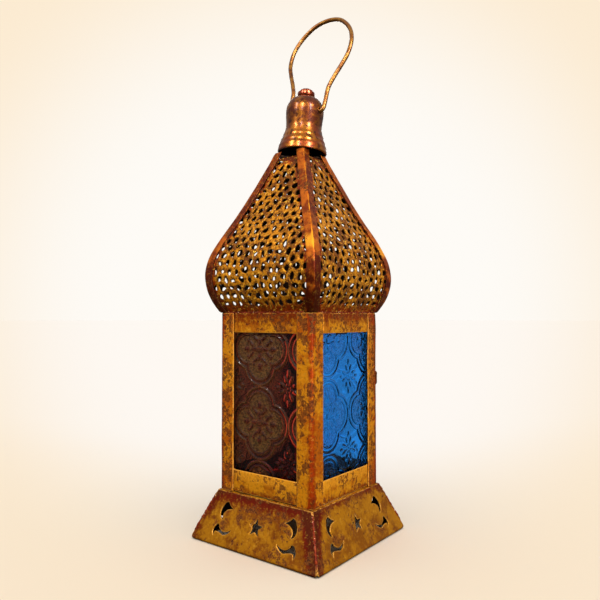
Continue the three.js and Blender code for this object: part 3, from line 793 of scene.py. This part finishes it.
def corner_sheet(front_width, left_width, radius, low, high, row_step, rounding):
    """The flat strip for a corner: widths are measured from the sharp corner."""
    arc = radius * pi / 4
    right, left = front_width - radius + arc, -(left_width - radius + arc)
    outline = rectangle(left, low, right, high, row_step)
    bend = np.linspace(-arc, arc, 9)
    columns = [*steps_between(left, -arc, 1.4), *bend, *steps_between(arc, right, 1.4)]
    rows = np.arange(low + row_step / 2, high, row_step)
    inner = [Vector((u, v)) for u in columns for v in rows]
    return pressed_sheet(outline, [], inner, rounding=rounding)


def post_rust(base):
    """Redder round the corner edge and towards the foot and the head."""
    def rust_and_light(u, v):
        drift = noise.noise(Vector((0, v / 17, 4.0)))
        corner = (0.75 + 0.6 * drift) * exp(-(((u - 2 * drift) / 3.6) ** 2))
        foot = max(0, 1 - (v - POST_LOW.z) / 22) ** 2
        head = max(0, 1 - (POST_HIGH.z - v) / 26)
        return base + 0.85 * corner + 0.35 * foot + 0.4 * head
    return rust_and_light


def add_posts():
    widths = ((FLANGE, FLANGE), (FLANGE, FLANGE), (REAR_FLANGE, FLANGE), (FLANGE, REAR_FLANGE))
    for quarter, (corner, (front_width, left_width)) in enumerate(zip(CORNERS, widths)):
        sheet = corner_sheet(front_width, left_width, 2.5, POST_LOW.z, POST_HIGH.z, 2.4, 0.28)
        place = corner_place(lambda v: BODY_HALF, 2.5, quarter + 11, 0.22)
        rust_and_light, node = post_rust(0.3 if corner == "rear_right" else 0.06), f"corner_post_{corner}"
        add_sheet(f"post_{corner}", sheet, place, quarter, rust_and_light, COPPER, "copper_leaf", node)


# ---- rails, panes and door

def rail_place(seed):
    """A flat rail whose ends step back behind the posts."""
    outer = -RAIL_LOW.y
    edge = OPENING_HALF - 0.3

    def place(u, v, n):
        t = clamp((abs(u) - edge + SHEET) / SHEET)
        back = SHEET * t * t * (3 - 2 * t)
        return Vector((u, -outer + back - n - dent(u, v, seed, 14, 0.16), v))

    return place


def rail_rust(level, low, high):
    """Redder towards the foot of a bottom rail and the head of a top rail."""
    def rust_and_light(u, v):
        part = (v - low) / (high - low)
        if level == "top":
            return 0.15 + 0.7 * part
        return -0.4 + 1.1 * max(0, 1 - part / 0.7)
    return rust_and_light


def add_rails():
    half = OPENING_HALF + 5.7
    ends = [*np.arange(26.4, 28.1, 0.3), 29.5, 31, 32.5]
    columns = sorted([*np.arange(-25.5, 26, 1.5), *ends, *(-x for x in ends)])
    spans = {"bottom": (RAIL_LOW.z, RAIL_TOP.z), "top": (TOP_RAIL_LOW.z, TOP_RAIL_HIGH.z)}
    for level, (low, high) in spans.items():
        outline = rectangle(-half, low, half, high, 1.2)
        inner = grid_points(columns, np.arange(low + 1.2, high - 0.5, 1.3), [outline], 0.6)
        sheet = pressed_sheet(outline, [], inner, rounding=0.25)
        rust_and_light = rail_rust(level, low, high)
        for quarter, side in ((0, "front"), (1, "right"), (3, "left")):
            place = rail_place(10 * quarter + len(level))
            node = f"{level}_rail_{side}"
            add_sheet(f"rail_{level}_{side}", sheet, place, quarter, rust_and_light, GOLD, "gold_leaf", node)


def petals(x, y, angles, kinds):
    """Rounded, tapering ridges about the origin: petals of each kind along each angle, on both sides of it."""
    height = np.zeros_like(x)
    for angle in angles:
        for side in (-1, 1):
            for out, aside, turn, length, width, top in kinds:
                dx = x - out * cos(angle) + side * aside * sin(angle)
                dy = y - out * sin(angle) - side * aside * cos(angle)
                direction = angle + side * turn
                along = dx * cos(direction) + dy * sin(direction)
                across = -dx * sin(direction) + dy * cos(direction)
                taper = width * (1 - 0.35 * along / length)
                ridge = top * np.exp(-((along / length) ** 4) - (across / taper) ** 2)
                height = np.maximum(height, ridge)
    return height


def boss(x, y, radius):
    return np.exp(-((np.hypot(x, y) / radius) ** 2))


def medallion(x, y):
    """A quatrefoil with a double outline and a flower cross, and where its ground is stippled and where it
    takes the khaki coating and painted sheen.
    """
    quarters = [k * pi / 2 for k in range(4)]
    lobes = [np.hypot(x - LOBE_OFFSET * cos(a), y - LOBE_OFFSET * sin(a)) for a in quarters]
    edge = np.min(lobes, axis=0) - LOBE_RADIUS
    outline = 0.5 * np.exp(-((edge / 0.75) ** 2)) + 0.42 * np.exp(-(((edge + 3.3) / 0.6) ** 2))
    flower = np.maximum(boss(x, y, 1.3), petals(x, y, quarters, ARM_PETALS))
    ground = np.clip((-edge - 3.9) / 0.6, 0, 1) * (1 - np.clip(1.6 * flower, 0, 1))
    return outline + 0.5 * flower, ground, np.clip(ground + 1.6 * outline, 0, 1)


def starburst(x, y):
    """Two rings of petals round a small boss, with long tips above and below and shorter ones beside."""
    around = [(k + 0.5) * pi / 4 for k in range(8)]
    flower = np.maximum(0.8 * boss(x, y, 0.8), petals(x, y, around, RING_PETALS))
    flower = np.maximum(flower, petals(x, y, (-pi / 2, pi / 2), [TALL_TIP]))
    return 0.5 * np.maximum(flower, petals(x, y, (0, pi), [WIDE_TIP]))


def glass_relief(x, z, origin):
    """The pressed pattern's height over a pane, and where it is stippled, where it takes the khaki coating and
    painted sheen, and where it is plain.
    """
    u, v, middle = x - origin[0], z - origin[1], PITCH / 2
    height, ground, film_and_sheen = medallion((u + middle) % PITCH - middle, (v + middle) % PITCH - middle)
    star = starburst(u % PITCH - middle, v % PITCH - middle)
    return height + star, ground, film_and_sheen, np.clip(1 - film_and_sheen - 2 * star, 0, 1)


def pane_shape(origin, step=0.5, relief=0.85):
    """A pane like the front one, patterned outside and flat behind: its points, faces and attributes."""
    xs = np.linspace(PANE_LOW.x, PANE_HIGH.x, round((PANE_HIGH.x - PANE_LOW.x) / step) + 1)
    zs = np.linspace(PANE_LOW.z, PANE_HIGH.z, round((PANE_HIGH.z - PANE_LOW.z) / step) + 1)
    x, z = np.meshgrid(xs, zs)
    height, ground, film_and_sheen, plain = glass_relief(x, z, origin)
    height = np.clip(height * 1.6, 0, 1)
    slope = np.hypot(*np.gradient(height, step))
    outer = np.stack([x, PANE_LOW.y + 0.1 + relief * (1 - height), z], axis=-1).reshape(-1, 3)
    inner = np.stack([x, np.full_like(x, PANE_HIGH.y), z], axis=-1).reshape(-1, 3)
    cells, back = grid_faces(*x.shape), x.size
    index = np.arange(back).reshape(x.shape)
    border = np.concatenate([index[0], index[1:, -1], index[-1, -2::-1], index[-2:0:-1, 0]]).tolist()
    faces = cells + [[back + i for i in reversed(cell)] for cell in cells]
    faces += [[back + a, back + b, b, a] for a, b in sides_of(border)]
    outside = {"stipple": ground, "slope": slope, "film_and_sheen": film_and_sheen, "plain": plain}
    attributes = {name: [*values.reshape(-1), *np.zeros(back)] for name, values in outside.items()}
    return np.concatenate([outer, inner]), faces, attributes


def add_pane(colour, material, origin, quarter, node, body="lantern", shift=0.0):
    """A pane whose pattern has a medallion centred at its origin: a distance across and a height."""
    points, faces, attributes = pane_shape(origin)
    points = turned_points(points, quarter) + np.array([0, shift, 0])
    pane = mesh_object(f"pane_{colour}", points, faces, attributes, sharp=70)
    finish_piece(pane, material, f"{colour}_glass", node, body=body)


def add_panes():
    add_pane("red", RED, (-6, 82), 0, "glass_front_red")
    add_pane("blue", BLUE, (-18, 88), 1, "glass_right_blue")
    add_pane("green", GREEN, (4, 84), 3, "glass_left_green")
    door_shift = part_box("door_glass")[1].y / MM + PANE_LOW.y
    add_pane("straw", STRAW, (-12, 86), 2, "door_glass", "door", door_shift)


def add_door():
    low, high, half = DOOR_LOW.z, DOOR_HIGH.z, DOOR_HIGH.x
    outline = rectangle(-half, low, half, high, 1.6)
    window = rectangle(-OPENING_HALF, WINDOW[0], OPENING_HALF, WINDOW[1], 1.6)
    inner = grid_points(np.arange(-half, half, 1.7), np.arange(low, high, 1.7), [outline, window], 1.0)
    sheet = pressed_sheet(outline, [window], inner, rounding=0.25)

    def place(u, v, n):
        return Vector((u, -DOOR_HIGH.y - n - dent(u, v, 51, 18, 0.08), v))

    def rust_and_light(u, v):
        return 0.15 + 0.5 * max(0, abs(v - DOOR_MIDDLE) - 46) / 16

    add_sheet("door_sheet", sheet, place, 2, rust_and_light, GOLD, "gold_leaf", "door_frame", body="door")


# ---- dome

class Dome:
    """The dome's profile: distance s up the curve against half-width and height."""

    def __init__(self, gap):
        curve = [p for p in smooth_curve(DOME_CURVE, 22) if PANEL_LOW.z - 0.6 < p.y < PANEL_HIGH.z + 0.8]
        self.half = np.array([p.x - gap for p in curve])
        self.z = np.array([p.y for p in curve])
        steps = np.hypot(np.diff(self.half), np.diff(self.z))
        self.s = np.concatenate([[0], np.cumsum(steps)])
        self.start, self.end = (float(np.interp(z, self.z, self.s)) for z in (PANEL_LOW.z, PANEL_HIGH.z))

    def half_at(self, s):
        return float(np.interp(s, self.s, self.half))

    def z_at(self, s):
        return float(np.interp(s, self.s, self.z))

    def place(self, seed):
        def place(u, s, n):
            slope = self.half_at(s + 1) - self.half_at(s - 1)
            rise = self.z_at(s + 1) - self.z_at(s - 1)
            lift = (n + dent(u, s, seed, 18, 0.3)) / hypot(slope, rise)
            return Vector((u, -self.half_at(s) - lift * rise, self.z_at(s) - lift * slope))
        return place


def clipped(polygon, point, normal):
    """The part of a convex polygon on the near side of the line through a point with that normal."""
    result = []
    for a, b in sides_of(polygon):
        side_a, side_b = (a - point).dot(normal), (b - point).dot(normal)
        if side_a <= 0:
            result.append(a)
        if side_a * side_b < 0:
            result.append(a.lerp(b, side_a / (side_a - side_b)))
    return result


def rounded_polygon(polygon, times):
    """A polygon with its corners cut off a number of times."""
    for _ in range(times):
        polygon = [a.lerp(b, part) for a, b in sides_of(polygon) for part in (0.25, 0.75)]
    return polygon


def lace_sites(width, low, high, rng, across=7.1, up=5.7):
    """Scattered points in staggered rows."""
    sites = []
    for row in range(int((high - low) / up) + 3):
        v = low + (row - 0.6) * up
        for column in range(-int(width / across) - 2, int(width / across) + 3):
            u = (column + 0.5 * (row % 2)) * across
            sites.append(Vector((u + rng.uniform(-1.9, 1.9), v + rng.uniform(-1.6, 1.6))))
    return sites


def lace_cell(site, neighbours, strut):
    """The cell round a site, kept half a strut from the lines midway to its neighbours."""
    reach = 9
    cell = [site + Vector(c) * reach for c in ((-1, -1), (1, -1), (1, 1), (-1, 1))]
    for other in neighbours:
        towards = (other - site).normalized()
        cell = clipped(cell, (site + other) / 2 - towards * strut / 2, towards)
        if len(cell) < 3:
            return []
    return cell


def squeezed(hole, rng):
    """The hole with its corners cut off, and narrower in a direction that varies about a shared one."""
    hole = rounded_polygon(hole, rng.choice((1, 2)))
    stretch, angle = rng.uniform(0.62, 1.0), rng.gauss(-0.7, 0.6)
    axis = Vector((cos(angle), sin(angle)))
    middle = sum(hole, Vector((0, 0))) / len(hole)
    return [p - (1 - stretch) * (p - middle).dot(axis) * axis for p in hole]


def dome_sheet(dome):
    """The pierced panel: irregular holes between raised struts, with a plain strip at the foot."""
    rng = random.Random(7)
    low, high = dome.start, dome.end
    sites = lace_sites(48, low + 4.5, high, rng)
    holes = []
    crests = {}
    for site in sites:
        neighbours = sorted((s for s in sites if s is not site), key=lambda s: (s - site).length)[:14]
        strut = rng.uniform(1.9, 3.0) + (0.8 if site.y < low + 11 else 0)
        for p in lace_cell(site, neighbours, 0):
            if low + 3 < p.y < high - 1.5 and abs(p.x) < dome.half_at(p.y) - 2:
                crests[(round(p.x, 1), round(p.y, 1))] = p
        hole = lace_cell(site, neighbours, strut)
        if len(hole) < 3 or abs(signed_area(hole)) < 4.5:
            continue
        hole = squeezed(hole, rng)
        if all(low + 4 < p.y < high - 1.8 and abs(p.x) < dome.half_at(p.y) - 1.7 for p in hole):
            holes.append(hole)
    right = [Vector((dome.half_at(s) - 0.2, s)) for s in np.linspace(low, high, 90)]
    outline = right + mirrored(right)
    taken = grid_points(np.arange(-46, 46.1, 1.6), np.arange(low + 0.8, low + 8, 1.3), [outline, *holes], 0.9)
    rims = np.array([tuple(p) for loop in [outline, *holes] for p in loop])
    for p in crests.values():
        far = np.min(np.hypot(rims[:, 0] - p.x, rims[:, 1] - p.y)) > 0.7
        if far and all((p - q).length > 0.6 for q in taken):
            taken.append(p)
    return pressed_sheet(outline, holes, taken, rounding=0.38)


def lace_rust_and_shade(dome):
    """Redder at the foot, darkened by a painted shadow beside the ribs and by painted shade under the bell at
    the crown, and paler on the swell.
    """
    def rust_and_light(u, s):
        foot = max(0, 1 - (s - dome.start) / 17)
        # Painted shadow of the ribs beside them, and painted shade under the bell at the crown.
        shaded = clamp(1 - (dome.half_at(s) - abs(u) - RIB_WIDTH) / 3)
        crown = max(0, 1 - (dome.end - s) / 9)
        swell = exp(-(((s - dome.start - 24) / 9) ** 2))
        return 0.05 + 0.68 * foot + 1.0 * shaded + 1.5 * crown - 0.3 * swell
    return rust_and_light


def add_dome():
    dome = Dome(1.2)
    sheet, rust_and_light = dome_sheet(dome), lace_rust_and_shade(dome)
    for quarter, side in enumerate(SIDES):
        place = dome.place(quarter + 21)
        add_sheet(f"dome_lace_{side}", sheet, place, quarter, rust_and_light, LACE, "gold_leaf", f"dome_panel_{side}")


def rib_rust_and_light(u, v):
    """A painted highlight along the fold, a bright patch low on the swell and blotches of undercoat at
    the foot.
    """
    patch = exp(-(((v - 201) / 7) ** 2))
    blotch = noise.noise(Vector((u / 4, 5.0, v / 5)))
    foot = max(0, 1 - (v - 156) / 40) * (0.7 + 1.6 * blotch)
    # A painted highlight line along the fold, uneven along its length.
    highlight_strength = 0.6 + 1.1 * noise.noise(Vector((3.0, 0, v / 6)))
    fold = exp(-((u / 0.4) ** 2)) * min(1, max(0.1, (v - 185) / 20)) * highlight_strength
    flank = 0.3 if u > 0 else 0
    return 0.3 + flank - 0.75 * patch + 0.9 * foot - fold


def add_ribs():
    curve = smooth_curve(DOME_CURVE, 22)
    heights, halves = [p.y for p in curve], [p.x for p in curve]
    for quarter, corner in enumerate(CORNERS):
        low, high = box_mm(f"dome_rib_{corner}")
        sheet = corner_sheet(RIB_WIDTH, RIB_WIDTH, 0.8, low.z, min(high.z, BELL_RIM - 0.4), 1.7, 0.3)
        place = corner_place(lambda v: float(np.interp(v, heights, halves)), 0.8, quarter + 31, 0.3)
        add_sheet(f"rib_{corner}", sheet, place, quarter, rib_rust_and_light, RIB, "copper_leaf", f"dome_rib_{corner}")


# ---- finial and handle

def leaning(points):
    """Points of the upright finial, leant over."""
    return [LEAN @ (Vector(p) - LEAN_CENTRE) + LEAN_CENTRE for p in points]


def grooved(radius, height):
    """The turned rings on the bell's flare."""
    fade = exp(-(((height - 8) / 5.5) ** 4))
    return radius + 0.13 * fade * cos(2 * pi * height / 4.1)


def add_bell():
    outer = [(grooved(p.x, p.y), BELL_RIM + p.y) for p in smooth_curve(BELL_OUTER, 10)]
    crown = [(4.4, BELL_TOP - 0.15), (2.4, BELL_TOP), (2.4, BELL_TOP - 1.3)]
    inner = [(p.x, BELL_RIM + p.y) for p in smooth_curve(BELL_INNER, 8)]
    profile, segments = [*outer, *crown, *inner], 96
    points, faces = lathe(profile, segments)
    # The inside is marked for painted shade.
    inside = [0.0] * len(outer + crown) + [1.0] * len(inner)
    # High above the rim the bell is marked for blotchy tarnishing and painted shade.
    tarnish_and_shade = [clamp((z - BELL_RIM - 12) / 8) for _, z in profile]
    attributes = {"inside": inside * segments, "tarnish_and_shade": tarnish_and_shade * segments}
    bell = mesh_object("bell", leaning(points), faces, attributes, sharp=60)
    path = [Vector((x, 0, PIVOT)) for x in np.linspace(-20, 20, 5)]
    points, faces = tube(path, lambda i, angle: 2.1, 32)
    cut_hole(bell, mesh_object("bell_hole", leaning(points), faces))
    finish_piece(bell, BRASS, "finial_brass", "finial_bell")


def add_button():
    """The screw, whose stepped and domed head is the button on the bell."""
    low, head, top = SCREW_BOTTOM, BUTTON_BOTTOM, BUTTON_TOP
    shank = [(0.001, low), (1.7, low), (2, low + 0.4), (2, head)]
    collar = [(5.6, head), (6.1, head + 0.3), (6.3, head + 1), (6.3, head + 2.6), (6.1, head + 3.1)]
    brim = head + 3.3
    dome = [(5.2 * cos(a), brim + (top - brim) * sin(a)) for a in np.linspace(0, 1.5, 14)]
    points, faces = lathe([*shank, *collar, *dome, (0.001, top)], 72, closed=False)
    screw = mesh_object("button", leaning(points), faces)
    finish_piece(screw, BUTTON, "finial_brass", "finial_screw")


def add_handle():
    """The springy wire loop, hand-bent, leaning back on its pivot."""
    left = [(-x, z) for x, z in reversed(HANDLE_HALF)]
    route = [Vector((x, 0, z)) for x, z in [*HANDLE_HALF, (0, HANDLE_TOP), *left]]
    path = smooth_curve(route, 9, 0.5)
    back = Matrix.Rotation(-HANDLE_LEAN, 3, "X")
    placed = leaning(back @ p + Vector((0, 0, PIVOT)) for p in path)

    def radius(i, angle):
        return 1.56 + 0.03 * noise.noise(Vector((0.12 * i, cos(angle), sin(angle))))

    wire = mesh_object("handle_wire_loop", *tube(placed, radius, 20))
    finish_piece(wire, WIRE, "handle_wire", "handle_loop", body="handle")


# ---- carried-over CAD nodes

def finish_cad_nodes():
    """The small fittings keep their CAD shapes and take the finish of their slot."""
    for part in frame["record"]["subparts"]:
        node = frame["nodes"][part["node"]]
        if node.hide_render:
            continue
        node.data.materials.clear()
        node.data.materials.append(SLOT_MATERIALS[part["material_slot"]])


# ---- scene

def add_camera():
    data = bpy.data.cameras.new("camera")
    data.sensor_width = 36
    data.lens = 35.85
    data.clip_start = 0.01
    data.clip_end = 100
    camera = bpy.data.objects.new("camera", data)
    camera.location = CAMERA * MM
    camera.rotation_euler = VIEW.to_track_quat("-Z", "Y").to_euler()
    bpy.context.scene.collection.objects.link(camera)
    bpy.context.scene.camera = camera


def add_light(name, kind, energy, floor, link_state, **settings):
    """A light that shines on the floor alone or on everything but the floor."""
    data = bpy.data.lights.new(name, kind)
    data.energy = energy
    for key, value in settings.items():
        setattr(data, key, value)
    light = bpy.data.objects.new(name, data)
    bpy.context.scene.collection.objects.link(light)
    linked = bpy.data.collections.new(f"{name}_floor")
    linked.objects.link(floor)
    linked.collection_objects[0].light_linking.link_state = link_state
    light.light_linking.receiver_collection = linked
    return light


def softbox(name, place, width, height, power, floor):
    """A rectangular light at a place, in metres, that faces the object and leaves the floor alone."""
    light = add_light(name, "AREA", power, floor, "EXCLUDE", shape="RECTANGLE", size=width, size_y=height)
    light.location = place
    light.rotation_euler = (Vector((0, 0, 0.2)) - Vector(place)).to_track_quat("-Z", "Y").to_euler()
    light.visible_camera = False
    light.visible_transmission = False


def add_world():
    """A backdrop that fades from pale cream behind the object to a warmer cream around it. It lights the
    object less than it shows, and mostly from above."""
    world = bpy.data.worlds.new("studio")
    bpy.context.scene.world = world
    w = NodeTree(world)
    direction = w.node("TexCoord", {}).outputs["Generated"]
    path = w.node("LightPath", {}).outputs
    seen = w.math("MAXIMUM", path["Is Camera Ray"], path["Is Transmission Ray"])
    glow = w.ramp(w.vector("DOT_PRODUCT", direction, VIEW), *GLOW_RANGE)
    pale = w.math("MAXIMUM", glow, w.math("SUBTRACT", 1.0, seen))
    upward = w.node("SeparateXYZ", {0: direction}).outputs["Z"]
    light = w.ramp(upward, -0.4, 0.8, WORLD_BELOW, WORLD_ABOVE, "LINEAR")
    inputs = {"Color": w.mix(pale, EDGE_CREAM, CREAM), "Strength": w.math("MAXIMUM", light, seen)}
    w.node("OutputWorld", {"Surface": w.node("Background", inputs).outputs[0]})


def add_floor():
    """A pale floor with a light of its own, which throws no glow back up at the object."""
    points, faces = lathe([(0.001, 0), (400, 0), (2000, 0), (30000, 0)], 64, closed=False)
    floor = mesh_object("floor", [(x, y, z - 0.2) for x, y, z in points], [f[::-1] for f in faces])
    floor.data.materials.append(pale_floor())
    floor.visible_diffuse = False
    floor.visible_glossy = False
    sun = add_light("overhead", "SUN", 1.54, floor, "INCLUDE", angle=radians(70))
    sun.rotation_euler = (radians(12), radians(8), 0)
    return floor


def add_softboxes(floor):
    softbox("key_left", (-0.35, -1.1, 1.05), 0.16, 0.6, 8.8, floor)
    softbox("key_front", (0.45, -1.15, 1.0), 0.14, 0.6, 11.5, floor)
    softbox("key_right", (1.15, -0.35, 0.95), 0.14, 0.6, 21, floor)
    softbox("fill_low", (0.75, -0.25, 0.22), 0.3, 0.2, 2.2, floor)
    softbox("fill_rear", (-0.75, 1.05, 0.75), 0.5, 0.5, 6, floor)


add_camera()
add_world()
add_softboxes(add_floor())
bpy.context.scene.view_settings.view_transform = "Standard"
add_base()
add_seams()
add_posts()
add_rails()
add_panes()
add_door()
add_dome()
add_ribs()
add_bell()
add_button()
add_handle()
finish_cad_nodes()
